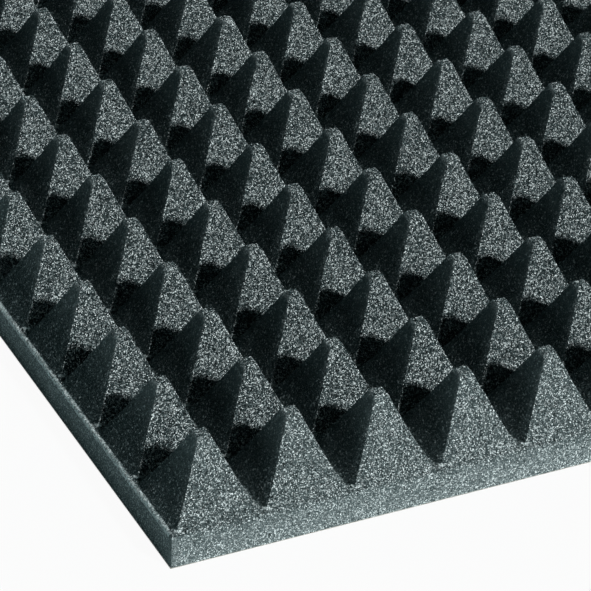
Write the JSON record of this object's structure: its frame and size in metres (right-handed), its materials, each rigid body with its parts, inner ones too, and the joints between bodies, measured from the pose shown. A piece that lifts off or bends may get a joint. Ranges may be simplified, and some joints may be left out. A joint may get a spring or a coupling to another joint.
{
  "type": "acoustic foam panel",
  "caption": "Square open-cell foam tile with a field of flat-topped pyramids on its face and a self-adhesive back under a split release liner.",
  "frame": {"origin": "middle of the back, on the surface that the panel lies on", "axes": "+Z the way the pyramids point; +X along the front edge; +Y away from the front edge"},
  "size_m": [0.5, 0.5, 0.0505],
  "materials": {
    "foam": "matt open-cell foam",
    "adhesive": "greyish tacky film",
    "liner": "silicone-coated paper"
  },
  "bodies": {
    "root": {"foam_panel": "foam", "adhesive_film": "adhesive", "release_liner_left": "liner", "release_liner_right": "liner"}
  },
  "joints": []
}
